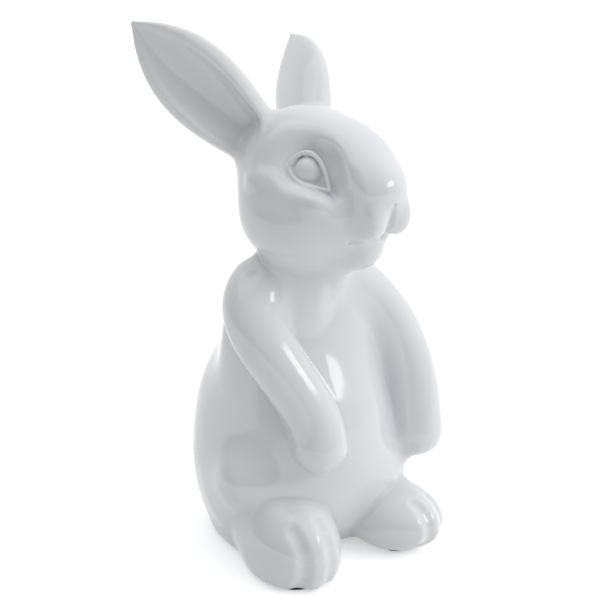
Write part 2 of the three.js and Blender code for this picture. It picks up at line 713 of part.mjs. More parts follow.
place(rabbit, "torso", makeTorso(), glaze);
place(rabbit, "base_slab", makeSlab(), bisque);
place(rabbit, "base_felt", sheet(point(0, BASE_FELT_BACK, 0), BASE_FELT_WIDTH, BASE_FELT_DEPTH), felt);
place(rabbit, "tail", trim(makeTail(), [torsoSeat]), glaze);
place(headGroup, "head", makeHead(), glaze);
for (const name of Object.keys(SIDES)) {
  const foot = trim(solid(footSkin(name, 0)), [below, torsoSeat]);
  const footSeat = solid(footSkin(name, SEAM));
  place(rabbit, `foot_${name}`, foot, glaze);
  place(rabbit, `foot_felt_${name}`, makeFootFelt(name), felt);
  place(rabbit, `arm_${name}`, trim(makeArm(name), [torsoSeat, headSeat, footSeat]), glaze);
  place(headGroup, `eye_${name}`, solid(eyeSkin(EYES[name], 0)), glaze);
  place(headGroup, `ear_${name}`, trim(makeEar(name), [solid(headSeatLocal)]), glaze);
}

export default rabbit;
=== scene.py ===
"""A seated rabbit ornament in glossy white ceramic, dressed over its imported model."""

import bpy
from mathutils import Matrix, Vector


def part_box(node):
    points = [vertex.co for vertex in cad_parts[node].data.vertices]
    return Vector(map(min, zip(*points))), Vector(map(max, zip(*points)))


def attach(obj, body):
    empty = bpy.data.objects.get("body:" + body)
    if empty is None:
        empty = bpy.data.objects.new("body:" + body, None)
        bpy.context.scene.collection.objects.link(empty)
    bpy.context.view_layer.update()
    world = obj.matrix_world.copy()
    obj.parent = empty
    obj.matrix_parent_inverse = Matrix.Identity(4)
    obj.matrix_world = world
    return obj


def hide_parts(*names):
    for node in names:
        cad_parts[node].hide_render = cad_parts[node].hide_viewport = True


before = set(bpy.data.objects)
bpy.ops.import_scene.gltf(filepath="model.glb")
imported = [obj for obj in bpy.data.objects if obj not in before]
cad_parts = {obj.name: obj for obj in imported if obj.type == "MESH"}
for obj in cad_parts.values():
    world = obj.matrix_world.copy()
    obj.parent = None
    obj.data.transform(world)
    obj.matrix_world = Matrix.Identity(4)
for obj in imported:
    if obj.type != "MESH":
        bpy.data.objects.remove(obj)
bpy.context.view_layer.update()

from concurrent.futures import ThreadPoolExecutor

import bmesh
import bpy
import numpy as np
import openvdb
from mathutils import Vector

# All lengths are millimetres until a mesh is made. X is the rabbit's left, -Y is ahead, Z is up.
METRE = 1000.0
SIDES = {"right": -1, "left": 1}

# Seams, the wall round the recess for the slab, the slab and the felt
SEAM = 0.3
RECESS_WALL = 5.0
SLAB_THICK = 9.0
FELT_THICK = 1.6
GROUND = FELT_THICK + SEAM
BASE_EDGE = 3.0

# Torso
BELLY = (0, 18.5, 78)
BELLY_RADII = (72.5, 82, 98)
BELLY_FALL = 90
CHEST = (0, 5, 164)
CHEST_RADII = (64, 34, 69)
CHEST_BLEND = 26
HAUNCH = (39.5, 6, 34)
HAUNCH_RADII = (25, 50, 44)
HAUNCH_BLEND = 38
THIGH = [(50, 4, 50, 20), (62, -17, 64, 17.5)]
THIGH_BLEND = 20
HIP_EDGE = [(48, 28, 10, 12), (48, -34, 10, 12)]
HIP_BLEND = 12

# Arms: handles of a curve from the shoulder to the paw, as x, y, z and radius
ARMS = {
    "right": [
        (-37, 2, 203, 22),
        (-77, -22, 185, 21.5),
        (-20, -49, 138, 18.6),
        (-27, -63.5, 102.5, 18.6),
    ],
    "left": [
        (36, 3, 198, 21),
        (77, -12, 163, 20.5),
        (79, -27, 126, 20),
        (76, -37, 81, 20),
    ],
}

# Feet, each with two grooves between its toes, as distance from the middle and depth
FOOT = {"right": (-41.5, -45, 22), "left": (47.5, -45, 22)}
FOOT_POINT = {"right": 7, "left": 15}
FOOT_RADII = {"right": (33, 44, 38), "left": (33, 44, 25.5)}
TOE_GROOVES = {"right": [(-4, 1.4), (18, 2.2)], "left": [(-6, 2.4), (14, 2.0)]}
GROOVE_TOP = 50
GROOVE_BOTTOM = -40
GROOVE_STEPS = 6
GROOVE_RADIUS = 6.5
GROOVE_FADE = 1.5
GROOVE_BLEND = 4

# Tail
TAIL = (0, 95.7, 40)
TAIL_RADII = (24, 22, 24)

# Head, in its own frame, which is turned to the rabbit's left
HEAD = (0, -14, 272)
HEAD_TURN = 9
CRANIUM = (0, 8, 8)
CRANIUM_RADII = (49, 52, 51)
BROW = (0, -22.5, 22)
BROW_RADII = (30, 29, 28)
BROW_BLEND = 12
SNOUT = (0, -37, 2.5)
SNOUT_RADII = (36, 35, 37)
SNOUT_BLEND = 30
NOSE = (0, -60.5, 12)
NOSE_RADII = (18, 17.5, 17)
NOSE_BLEND = 14
CHEEK = (27, -5, -16.5)
CHEEK_RADII = (30, 38, 29)
CHEEK_BLEND = 18
LIP = (11.3, -62.5, -5)
LIP_RADII = (13, 15.5, 15.5)
LIP_BLEND = 5
NECK = [(0, 4, -20, 31.5), (0, 16, -58, 28)]
THROAT = [(0, -35, -30, 14), (0, 0, -60, 14)]
THROAT_BLEND = 18
CHIN = (0, -42, -28)
CHIN_RADII = (17, 20.5, 18)
CHIN_BLEND = 12
MOUTH_FRONT = -58
MOUTH_LENGTH = 34
MOUTH_BLEND = 4
MOUTH_FADE = 16

# Lines of the mouth and lip, as x, y, z and radius, laid on the skin as seen from inside the snout
LINE_CORE = (0, -30, -2)
LINE_BLEND = 3
LINE_STEPS = 4
LINE_FARTHEST = 90.0
LINE_HALVINGS = 40
LINE_AREA = (0, -60, -6)
LINE_REACH = 40
MOUTH_LINE = [(0, -70, -20.6, 2.4), (10, -67, -21.6, 4), (21, -60, -24, 1.4)]
LIP_LINE = [(0, -75, 4, 0.7), (0, -75, -2, 1.5), (0, -73, -10, 2.3), (0, -68, -19, 2.8)]

# Eyes. Forms round an eye are in its own frame: ahead, up and out along the look.
EYE = (25.0, -22.2, 21.7)
LOOK = (0.83, -0.44, 0.34)
EYE_RADIUS = 10.8
EYE_REACH = 50
LID_REACH = 36
SOCKET = (1, 2.5, 20)
SOCKET_RADII = (26, 20.5, 16)
SOCKET_BLEND = 5
CORNER = (14, -9, 17)
CORNER_RADII = (13, 10, 11)
CORNER_BLEND = 4
TRENCH = [(-26, 7, 15.5, 4.5), (-13, 23, 13, 6), (9, 24, 12.5, 7), (22, -12, 15.5, 6)]
TRENCH_BLEND = 15
VALLEY = [(28, -8, 25, 10), (41, -38, 17, 9)]
VALLEY_BLEND = 10
CHEEKBONE = [(-36, -9, -2, 8), (12, -23, 9, 7.5)]
CHEEKBONE_BLEND = 7
BACK_CORNER = (-13.5, 1.5, 5.5, 1.3)
FRONT_CORNER = (18, -12.5, 8.6, 1.1)
UPPER_LID = [BACK_CORNER, (-6, 16.8, 7.4, 1.8), (9.5, 16, 7.4, 1.8), FRONT_CORNER]
LOWER_LID = [BACK_CORNER, (-8, -11.6, 9.8, 1.5), (5, -11.2, 8, 1.5), FRONT_CORNER]
LID_BLEND = 2.6

# Ears, from root to tip, with the way that the scooped face looks
EARS = {
    "right": {"root": (-27, 31.5, 34.3), "tip": (-78.5, 101.3, 111.2), "face": (-0.9, -0.42, 0.1)},
    "left": {"root": (21.6, 33.1, 34), "tip": (69.2, 105.8, 89.5), "face": (0.93, -0.12, -0.35)},
}
EAR_WIDTHS = {"right": (20, 31.5, 41, 2.5), "left": (20, 31.5, 36, 2.5)}
EAR_THICKS = (14, 15, 11, 2.4)
SCOOP_WIDTH = 0.76
SCOOP_DEPTH = 1.6
SCOOP_RISE = 0.65
SCOOP_OUT = 1.15
SCOOP_BLEND = 3

# How softly each piece runs into the one that carries it, under the glaze
LUTE = {
    "head": 14,
    "arm_right": 5,
    "arm_left": 10,
    "foot_right": 4,
    "foot_left": 4,
    "tail": 6,
    "ear_right": 8,
    "ear_left": 8,
    "eye_right": 1.2,
    "eye_left": 1.2,
}
THROAT_LUTE = 18
THROAT_SIDES = (12, -12)
FRONT_PLACES = (0, -25)
SHOULDER_LUTE = {"right": 11, "left": 4}
SHOULDER_LEVELS = (165, 215)
HIP_LUTE = 6
HIP_PLACES = (4, 26)
CLAIM_MARGIN = 6
CLAIM_REACH = 20

# How far under the skin a piece's hidden faces lie, halved where the skin is thin
CAP_DEPTH = 7
CAP_STEPS = 5

# The skin is meshed in two halves, which meet at a level of the neck, with points a fineness apart
NECK_SEAM = 226
BODY_FINENESS = 1.35
HEAD_FINENESS = 0.8
SEAM_MARGIN = 8
BLOCK = 24
BLOCK_REACH = 1.3
BAND = 3
BOX_MARGIN = 9
FORM_MARGIN = 50
FAR = 60.0
POLISH_STEPS = 3
POLISH_REACH = 1
LEAST_SLOPE = 0.05
LEAST_STEEPNESS = 0.2
SNAP = 0.08
SLOPE_STEP = 0.12
POOL_STEP = 0.7
CORNERS = np.array([(1, -1, -1), (-1, -1, 1), (-1, 1, -1), (1, 1, 1)], float)
CHUNK = 12000
SWEEP_SAMPLES = 21
SWEEP_STEPS = 4
SWEEP_START = 0.5
SWEEP_SHRINK = 3
TINY = 1e-6
WORKERS = 4


# Fields: each gives about the distance outside a form at points in the last axis of an array
def ellipsoid(p, centre, radii):
    q = p - np.array(centre)
    r = np.array(radii, float)
    near = np.sqrt(((q / r) ** 2).sum(-1))
    slope = np.sqrt(((q / (r * r)) ** 2).sum(-1))
    return near * (near - 1) / np.maximum(slope, TINY)


def taper(p, start, end):
    a, b = np.array(start[:3], float), np.array(end[:3], float)
    along = b - a
    t = np.clip(((p - a) @ along) / (along @ along), 0, 1)
    off = p - a - t[..., None] * along
    return np.sqrt((off**2).sum(-1)) - (start[3] + (end[3] - start[3]) * t)


def join(a, b, blend):
    h = np.maximum(blend - np.abs(a - b), 0) / blend
    return np.minimum(a, b) - h * h * blend / 4


def carve(a, b, blend):
    return -join(-a, b, blend)


def curve(handles, t):
    s = 1 - t
    weights = (s**3, 3 * s * s * t, 3 * s * t * t, t**3)
    return sum(w[..., None] * h for w, h in zip(weights, handles))


def sweep(p, handles):
    """A round form of changing radius along a curve of four handles."""
    handles = np.array(handles, float)
    best = np.full(p.shape[:-1], np.inf)
    t = np.zeros(p.shape[:-1])
    for share in np.linspace(0, 1, SWEEP_SAMPLES):
        d = ((p - curve(handles, np.array(share))[:3]) ** 2).sum(-1)
        t = np.where(d < best, share, t)
        best = np.minimum(d, best)
    step = SWEEP_START / (SWEEP_SAMPLES - 1)
    for _ in range(SWEEP_STEPS):
        before = curve(handles, np.clip(t - step, 0, 1))[..., :3] - p
        here = curve(handles, t)[..., :3] - p
        after = curve(handles, np.clip(t + step, 0, 1))[..., :3] - p
        low, mid, high = ((v**2).sum(-1) for v in (before, here, after))
        bend = np.maximum(low - 2 * mid + high, TINY)
        t = np.clip(t + np.clip(step * (low - high) / (2 * bend), -step, step), 0, 1)
        step /= SWEEP_SHRINK
    place = curve(handles, t)
    return np.sqrt(((p - place[..., :3]) ** 2).sum(-1)) - place[..., 3]


def channel(p, places, radii):
    """A chain of tapers."""
    ends = [(*place, radius) for place, radius in zip(places, radii)]
    links = [taper(p, a, b) for a, b in zip(ends[:-1], ends[1:])]
    return np.minimum.reduce(links)


def only_near(field, p, centre, reach):
    """The field within reach of a centre, and far away elsewhere."""
    inside = ((p - np.array(centre)) ** 2).sum(-1) < reach * reach
    out = np.full(p.shape[:-1], FAR)
    if inside.any():
        out[inside] = field(p[inside])
    return out


def turned(p, degrees):
    """Points in a frame that is turned about Z."""
    angle = np.radians(degrees)
    c, s = np.cos(angle), np.sin(angle)
    return p @ np.array([[c, -s, 0], [s, c, 0], [0, 0, 1]])


def mirrored(place, side):
    return np.array(place, float) * (side, 1, 1)


def smooth_step(t):
    t = np.clip(t, 0, 1)
    return t * t * (3 - 2 * t)


# Body
def torso(p):
    q = p - np.array(BELLY)
    lower = np.where(q[..., 2] < 0, BELLY_RADII[2] / BELLY_FALL, 1.0)
    q = np.stack([q[..., 0], q[..., 1], q[..., 2] * lower], -1)
    form = ellipsoid(q, (0, 0, 0), BELLY_RADII)
    form = join(form, ellipsoid(p, CHEST, CHEST_RADII), CHEST_BLEND)
    for side in SIDES.values():
        form = join(form, ellipsoid(p, mirrored(HAUNCH, side), HAUNCH_RADII), HAUNCH_BLEND)
        q = p * (side, 1, 1)
        form = join(form, taper(q, *THIGH), THIGH_BLEND)
        form = join(form, taper(q, *HIP_EDGE), HIP_BLEND)
    return form


def toe_groove(name, out, depth):
    radii = np.array(FOOT_RADII[name], float)
    across = SIDES[name] * out
    shrink = np.sqrt(1 - (across / radii[0]) ** 2)
    places = []
    for angle in np.radians(np.linspace(GROOVE_TOP, GROOVE_BOTTOM, GROOVE_STEPS + 1)):
        ray = np.array((0, -np.cos(angle), np.sin(angle)))
        places.append(np.array((across, 0, 0)) + ray * (radii * shrink + GROOVE_RADIUS - depth))
    return places, np.linspace(GROOVE_RADIUS - GROOVE_FADE, GROOVE_RADIUS, GROOVE_STEPS + 1)


def foot(name, p):
    q = turned(p - np.array(FOOT[name]), FOOT_POINT[name])
    form = ellipsoid(q, (0, 0, 0), FOOT_RADII[name])
    for out, depth in TOE_GROOVES[name]:
        form = carve(form, channel(q, *toe_groove(name, out, depth)), GROOVE_BLEND)
    return form


# Head
def in_head(p):
    return turned(p - np.array(HEAD), HEAD_TURN)


def in_eye(q, side):
    out = mirrored(LOOK, side)
    out = out / np.linalg.norm(out)
    up = np.array((0, 0, 1.0)) - out[2] * out
    up = up / np.linalg.norm(up)
    ahead = side * np.cross(out, up)
    r = q - mirrored(EYE, side)
    return np.stack([r @ ahead, r @ up, r @ out], -1)


def head_mass(q):
    upper = ellipsoid(q, CRANIUM, CRANIUM_RADII)
    upper = join(upper, ellipsoid(q, BROW, BROW_RADII), BROW_BLEND)
    upper = join(upper, ellipsoid(q, SNOUT, SNOUT_RADII), SNOUT_BLEND)
    for side in SIDES.values():
        upper = join(upper, ellipsoid(q, mirrored(CHEEK, side), CHEEK_RADII), CHEEK_BLEND)
    upper = join(upper, ellipsoid(q, NOSE, NOSE_RADII), NOSE_BLEND)
    for side in SIDES.values():
        upper = join(upper, ellipsoid(q, mirrored(LIP, side), LIP_RADII), LIP_BLEND)
    lower = taper(q, *NECK)
    lower = join(lower, taper(q, *THROAT), THROAT_BLEND)
    lower = join(lower, ellipsoid(q, CHIN, CHIN_RADII), CHIN_BLEND)
    blend = MOUTH_BLEND + MOUTH_FADE * smooth_step((q[..., 1] - MOUTH_FRONT) / MOUTH_LENGTH)
    return join(upper, lower, blend)


def head_form(q):
    form = head_mass(q)
    for side in SIDES.values():
        e = in_eye(q, side)
        form = carve(form, ellipsoid(e, SOCKET, SOCKET_RADII), SOCKET_BLEND)
        form = carve(form, ellipsoid(e, CORNER, CORNER_RADII), CORNER_BLEND)
        trench = only_near(lambda x: sweep(x, TRENCH), e, (0, 0, 0), EYE_REACH)
        form = carve(form, trench, TRENCH_BLEND)
        form = carve(form, taper(e, *VALLEY), VALLEY_BLEND)
        form = join(form, taper(e, *CHEEKBONE), CHEEKBONE_BLEND)
    return form


def on_skin(place):
    """The point of the head's skin behind a place, as seen from inside the snout."""
    core = np.array(LINE_CORE, float)
    ray = np.array(place, float) - core
    ray = ray / np.linalg.norm(ray)
    near, far = 0.0, LINE_FARTHEST
    for _ in range(LINE_HALVINGS):
        middle = (near + far) / 2
        if head_form((core + middle * ray)[None])[0] < 0:
            near = middle
        else:
            far = middle
    return core + near * ray


def drawn_line(points, side=1):
    """A line of the face laid on the skin: its places and radii."""
    points = [(*mirrored(point[:3], side), point[3]) for point in np.array(points, float)]
    places = []
    for a, b in zip(np.array(points[:-1]), np.array(points[1:])):
        places += [a + (b - a) * i / LINE_STEPS for i in range(LINE_STEPS)]
    places.append(np.array(points[-1]))
    return [on_skin(place[:3]) for place in places], [place[3] for place in places]


FACE_LINES = [drawn_line(LIP_LINE)]
for line_side in SIDES.values():
    FACE_LINES.append(drawn_line(MOUTH_LINE, line_side))


def face_lines(q):
    return np.minimum.reduce([channel(q, *line) for line in FACE_LINES])


def lids(e):
    return np.minimum(sweep(e, UPPER_LID), sweep(e, LOWER_LID))


def eye(name, p):
    return np.sqrt((in_eye(in_head(p), SIDES[name]) ** 2).sum(-1)) - EYE_RADIUS


def head(p):
    q = in_head(p)
    form = head_form(q)
    form = carve(form, only_near(face_lines, q, LINE_AREA, LINE_REACH), LINE_BLEND)
    for side in SIDES.values():
        e = in_eye(q, side)
        form = join(form, only_near(lids, e, (0, 0, 0), LID_REACH), LID_BLEND)
    return form


def ear(name, p):
    root, tip = (np.array(EARS[name][end], float) for end in ("root", "tip"))
    length = np.linalg.norm(tip - root)
    axis = (tip - root) / length
    face = np.array(EARS[name]["face"])
    face = face - axis * (face @ axis)
    face = face / np.linalg.norm(face)
    side = np.cross(axis, face)
    q = in_head(p) - root
    t = np.clip((q @ axis) / length, 0, 1)
    profile = curve(np.stack([EAR_WIDTHS[name], EAR_THICKS], -1), t)
    width, thick = profile[..., 0], profile[..., 1]
    least = np.minimum(width, thick)
    beyond = (q @ axis - t * length) / least
    across, out = q @ side, q @ face
    blade = np.sqrt((across / width) ** 2 + (out / thick) ** 2 + beyond**2) - 1
    hollow = (out - SCOOP_OUT * thick) / ((SCOOP_DEPTH - SCOOP_RISE * t * t) * thick)
    scoop = np.sqrt((across / (SCOOP_WIDTH * width)) ** 2 + hollow**2 + beyond**2) - 1
    return carve(blade * least, scoop * least, SCOOP_BLEND)


# Every glazed form by its node
FORMS = {
    "torso": torso,
    "head": head,
    "tail": lambda p: ellipsoid(p, TAIL, TAIL_RADII),
}
for form_name in SIDES:
    FORMS[f"arm_{form_name}"] = lambda p, n=form_name: sweep(p, ARMS[n])
    FORMS[f"foot_{form_name}"] = lambda p, n=form_name: foot(n, p)
    FORMS[f"ear_{form_name}"] = lambda p, n=form_name: ear(n, p)
    FORMS[f"eye_{form_name}"] = lambda p, n=form_name: eye(n, p)
ON_TORSO = ["arm_right", "arm_left", "foot_right", "foot_left", "tail"]
ON_HEAD = ["ear_right", "ear_left", "eye_right", "eye_left"]


def box_of(node, margin):
    low, high = (np.array(corner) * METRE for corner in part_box(node))
    return low - margin, high + margin


FORM_BOXES = {node: box_of(node, FORM_MARGIN) for node in FORMS}


def all_forms(p):
    """The field of every form, far away outside the box round its node."""
    fields = {}
    for node, field in FORMS.items():
        low, high = FORM_BOXES[node]
        inside = ((p > low) & (p < high)).all(-1)
        if inside.all():
            fields[node] = field(p)
            continue
        fields[node] = np.full(p.shape[:-1], FAR)
        if inside.any():
            fields[node][inside] = field(p[inside])
    return fields


def between(value, ends):
    """From 0 at the first end to 1 at the second."""
    return smooth_step((value - ends[0]) / (ends[1] - ends[0]))


def lute(node, p):
    """How softly a piece runs into its host: more so at the throat, the shoulders and the hips."""
    kind, _, name = node.partition("_")
    least = float(LUTE[node])
    if kind == "head":
        front = between(p[..., 1], FRONT_PLACES)
        return least + THROAT_LUTE * front * between(p[..., 0], THROAT_SIDES)
    if kind == "arm":
        front = between(p[..., 1], FRONT_PLACES)
        return least + SHOULDER_LUTE[name] * front * between(p[..., 2], SHOULDER_LEVELS)
    if kind == "foot":
        out = SIDES[name] * turned(p - np.array(FOOT[name]), FOOT_POINT[name])[..., 0]
        return least + HIP_LUTE * between(out, HIP_PLACES)
    return np.full(p.shape[:-1], least)


def glazed_skin(p, fields):
    """The one skin over all the forms, flat below, with a recess for the slab."""
    skin = fields["torso"]
    for node in LUTE:
        skin = join(skin, fields[node], lute(node, p))
    height = p[..., 2]
    skin = carve(skin, height - GROUND, BASE_EDGE)
    recess = np.maximum(fields["torso"] + RECESS_WALL, height - GROUND - SLAB_THICK - SEAM)
    return carve(skin, recess, SEAM)


def claim(node, host, p):
    """Below zero on the skin that belongs to a piece, and not to the one that carries it."""
    fields = all_forms(p)
    beyond = lute(node, p) / 4 - fields[host]
    nearer = fields[node] - fields[host] - CLAIM_MARGIN
    return np.maximum.reduce([beyond, nearer, fields[node] - CLAIM_REACH])


def skin_at(p):
    return glazed_skin(p, all_forms(p))


def in_chunks(function, p):
    """A function over many points, some at a time, side by side."""
    chunks = [p[i : i + CHUNK] for i in range(0, len(p), CHUNK)]
    with ThreadPoolExecutor(WORKERS) as workers:
        return np.concatenate(list(workers.map(function, chunks)))


def slope_at(p):
    """The field's slope, from four points round each one."""
    sides = [in_chunks(skin_at, p + SLOPE_STEP * corner)[:, None] * corner for corner in CORNERS]
    return sum(sides) / (4 * SLOPE_STEP)


def polished(p):
    """Points moved onto the skin."""
    slope = slope_at(p)
    way = slope / np.maximum((slope**2).sum(-1), LEAST_SLOPE)[:, None]
    for _ in range(POLISH_STEPS):
        p = p - np.clip(in_chunks(skin_at, p)[:, None] * way, -POLISH_REACH, POLISH_REACH)
    return p


def meshed(low, high, fineness):
    """Points and triangles of the skin in a box."""
    count = np.ceil((high - low) / fineness).astype(int) + 1
    band = BAND * fineness
    starts = np.stack(np.meshgrid(*[np.arange(0, n, BLOCK) for n in count], indexing="ij"), -1)
    starts = starts.reshape(-1, 3)
    ends = np.minimum(starts + BLOCK, count)
    depths = skin_at(low + fineness * (starts + ends - 1) / 2)
    reach = BLOCK * fineness * BLOCK_REACH + band
    volume = np.full(count, band, np.float32)

    def fill(i):
        where = tuple(slice(a, b) for a, b in zip(starts[i], ends[i]))
        if abs(depths[i]) > reach:
            volume[where] = np.sign(depths[i]) * band
            return
        lines = [low[k] + fineness * np.arange(starts[i][k], ends[i][k]) for k in range(3)]
        volume[where] = skin_at(np.stack(np.meshgrid(*lines, indexing="ij"), -1))

    with ThreadPoolExecutor(WORKERS) as workers:
        list(workers.map(fill, range(len(starts))))
    grid = openvdb.FloatGrid()
    grid.copyFromArray(np.clip(volume, -band, band))
    points, quads = grid.convertToQuads(isovalue=0.0)
    points, quads = polished(low + fineness * points.astype(float)), quads.astype(int)
    first = ((points[quads[:, 0]] - points[quads[:, 2]]) ** 2).sum(-1)
    second = ((points[quads[:, 1]] - points[quads[:, 3]]) ** 2).sum(-1)
    one = np.stack([quads[:, [0, 1, 2]], quads[:, [0, 2, 3]]], 1)
    other = np.stack([quads[:, [0, 1, 3]], quads[:, [1, 2, 3]]], 1)
    return points, np.where((first < second)[:, None, None], one, other).reshape(-1, 3)


def split(points, triangles, value, fineness):
    """Cuts triangles where a value is zero: all the points, then the triangles below zero and above."""
    value = np.where(np.abs(value) < SNAP * fineness, 0.0, value)
    inside = value <= 0
    count = inside[triangles].sum(1)
    below, above = list(triangles[count == 3]), list(triangles[count == 0])
    new_points, made = [], {}

    def cut(a, b):
        if value[a] == 0:
            return a
        if value[b] == 0:
            return b
        key = (min(a, b), max(a, b))
        if key not in made:
            made[key] = len(points) + len(new_points)
            share = value[a] / (value[a] - value[b])
            new_points.append(points[a] + share * (points[b] - points[a]))
        return made[key]

    def keep(side, *corners):
        if len(set(corners)) == 3:
            side.append(corners)

    for corners in triangles[(count == 1) | (count == 2)]:
        alone = inside[corners] if inside[corners].sum() == 1 else ~inside[corners]
        odd = int(np.argmax(alone))
        tip, base = (below, above) if inside[corners[odd]] else (above, below)
        a, b, c = (int(corners[(odd + k) % 3]) for k in range(3))
        ab, ca = cut(a, b), cut(a, c)
        keep(tip, a, ab, ca)
        keep(base, ab, b, c)
        keep(base, ab, c, ca)
    if new_points:
        points = np.concatenate([points, polished(np.array(new_points))])
    return points, np.array(below, int).reshape(-1, 3), np.array(above, int).reshape(-1, 3)


def closed_mesh(name, points, triangles, normals, pools):
    """A closed mesh of a piece's skin, with hidden faces sunk under it where the piece is luted on."""
    edges = np.concatenate([triangles[:, [0, 1]], triangles[:, [1, 2]], triangles[:, [2, 0]]])
    both = set(map(tuple, edges[:, ::-1].tolist()))
    rim = np.array([edge for edge in edges.tolist() if tuple(edge) not in both])
    around, sunk = np.unique(rim, return_inverse=True)
    sunk = sunk.reshape(-1, 2) + len(points)
    wall = np.concatenate([np.c_[rim[:, ::-1], sunk[:, 0]], np.c_[rim[:, 1], sunk]])
    depth = np.full((len(around), 1), float(CAP_DEPTH))
    for _ in range(CAP_STEPS):
        under = points[around] - depth * normals[around]
        depth[in_chunks(skin_at, under) > -depth[:, 0] / 2] /= 2
    points = np.concatenate([points, points[around] - depth * normals[around]])
    pools = np.concatenate([pools, np.zeros(len(around))])
    mesh = bpy.data.meshes.new(name)
    mesh.from_pydata((points / METRE).tolist(), [], np.concatenate([triangles, wall]).tolist())
    body = bmesh.new()
    body.from_mesh(mesh)
    open_edges = [edge for edge in body.edges if edge.is_boundary]
    caps = bmesh.ops.holes_fill(body, edges=open_edges, sides=0)["faces"]
    bmesh.ops.triangulate(body, faces=caps)
    body.to_mesh(mesh)
    body.free()
    mesh.polygons.foreach_set("use_smooth", np.ones(len(mesh.polygons), bool))
    shown = 3 * len(triangles)
    loops = np.zeros(len(mesh.loops), int)
    mesh.loops.foreach_get("vertex_index", loops)
    flat = np.zeros(3 * len(mesh.polygons))
    mesh.polygons.foreach_get("normal", flat)
    shading = np.repeat(flat.reshape(-1, 3), 3, axis=0)
    shading[:shown] = normals[loops[:shown]]
    mesh.normals_split_custom_set(shading.tolist())
    pool = mesh.attributes.new("pool", "FLOAT", "POINT")
    pool.data.foreach_set("value", pools.astype(np.float32))
    return mesh


def glazed_pieces(host, guests, fineness, above):
    """The pieces of the skin above or below the neck seam, cut from one mesh and sharing their edges."""
    boxes = [box_of(node, BOX_MARGIN) for node in (host, *guests)]
    low, high = np.min([box[0] for box in boxes], 0), np.max([box[1] for box in boxes], 0)
    way = -1 if above else 1
    seam_end = low if above else high
    seam_end[2] = NECK_SEAM + way * SEAM_MARGIN * fineness
    points, triangles = meshed(low, high, fineness)
    points, triangles, _ = split(points, triangles, way * (points[:, 2] - NECK_SEAM), fineness)
    shares = {}
    for node in guests:
        value = in_chunks(lambda p, n=node: claim(n, host, p), points)
        points, shares[node], triangles = split(points, triangles, value, fineness)
    shares[host] = triangles
    slope = slope_at(points)
    steepness = np.maximum(np.linalg.norm(slope, axis=1), LEAST_STEEPNESS)
    around = sum(in_chunks(skin_at, points + POOL_STEP * corner) for corner in CORNERS)
    pools = -around / (2 * POOL_STEP**2) / steepness
    normals = slope / np.linalg.norm(slope, axis=1, keepdims=True)
    for node, own in shares.items():
        used, faces = np.unique(own, return_inverse=True)
        faces = faces.reshape(-1, 3)
        mesh = closed_mesh(f"{node}_glazed", points[used], faces, normals[used], pools[used])
        dressed(mesh, node, glaze)


def dressed(mesh, node, material):
    """A piece that stands for a node."""
    piece = bpy.data.objects.new(mesh.name, mesh)
    bpy.context.scene.collection.objects.link(piece)
    mesh.materials.append(material)
    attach(piece, "root")
    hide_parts(node)
    return piece


# Camera at the photo's view
CAMERA = (-481.15, -768.38, 499.29)
TARGET = (-7.73, -5.02, 190.0)
LENS = 79.17
SENSOR = 36.0
camera = bpy.data.objects.new("camera", bpy.data.cameras.new("camera"))
bpy.context.scene.collection.objects.link(camera)
camera.location = Vector(CAMERA) / METRE
aim = Vector(TARGET) - Vector(CAMERA)
camera.rotation_euler = aim.to_track_quat("-Z", "Y").to_euler()
camera.data.lens = LENS
camera.data.sensor_width = SENSOR
bpy.context.scene.camera = camera


# Materials
def new_material(name):
    material = bpy.data.materials.new(name)
    material.use_nodes = True
    tree = material.node_tree
    return material, tree, tree.nodes["Principled BSDF"]


def ramp_node(tree, source, stops):
    node = tree.nodes.new("ShaderNodeValToRGB")
    while len(node.color_ramp.elements) < len(stops):
        node.color_ramp.elements.new(0.5)
    for element, (place, colour) in zip(node.color_ramp.elements, stops):
        element.position = place
        element.color = (*colour, 1)
    tree.links.new(source, node.inputs["Fac"])
    return node.outputs["Color"]


def noise_node(tree, scale, detail, rough=0.5):
    where = tree.nodes.new("ShaderNodeTexCoord")
    node = tree.nodes.new("ShaderNodeTexNoise")
    node.inputs["Scale"].default_value = scale
    node.inputs["Detail"].default_value = detail
    node.inputs["Roughness"].default_value = rough
    tree.links.new(where.outputs["Object"], node.inputs["Vector"])
    return node.outputs["Fac"]


def mix_node(tree, blend, factor, a, b):
    node = tree.nodes.new("ShaderNodeMix")
    node.data_type = "RGBA"
    node.blend_type = blend
    node.inputs["Factor"].default_value = factor
    tree.links.new(a, node.inputs["A"])
    tree.links.new(b, node.inputs["B"])
    return node.outputs["Result"]


def bump_node(tree, height, strength, distance):
    node = tree.nodes.new("ShaderNodeBump")
    node.inputs["Strength"].default_value = strength
    node.inputs["Distance"].default_value = distance
    tree.links.new(height, node.inputs["Height"])
    return node.outputs["Normal"]


def map_node(tree, source, from_range, to_range):
    node = tree.nodes.new("ShaderNodeMapRange")
    node.inputs["From Min"].default_value, node.inputs["From Max"].default_value = from_range
    node.inputs["To Min"].default_value, node.inputs["To Max"].default_value = to_range
    tree.links.new(source, node.inputs["Value"])
    return node.outputs["Result"]


def math_node(tree, operation, a, b):
    node = tree.nodes.new("ShaderNodeMath")
    node.operation = operation
    tree.links.new(a, node.inputs[0])
    tree.links.new(b, node.inputs[1])
    return node.outputs["Value"]


def seen_rays(tree):
    """Outputs that are 1 for rays straight from the camera, and for rays by way of gloss or glass."""
    path = tree.nodes.new("ShaderNodeLightPath")
    bent = math_node(tree, "MAXIMUM", path.outputs["Is Glossy Ray"], path.outputs["Is Transmission Ray"])
    return path.outputs["Is Camera Ray"], bent


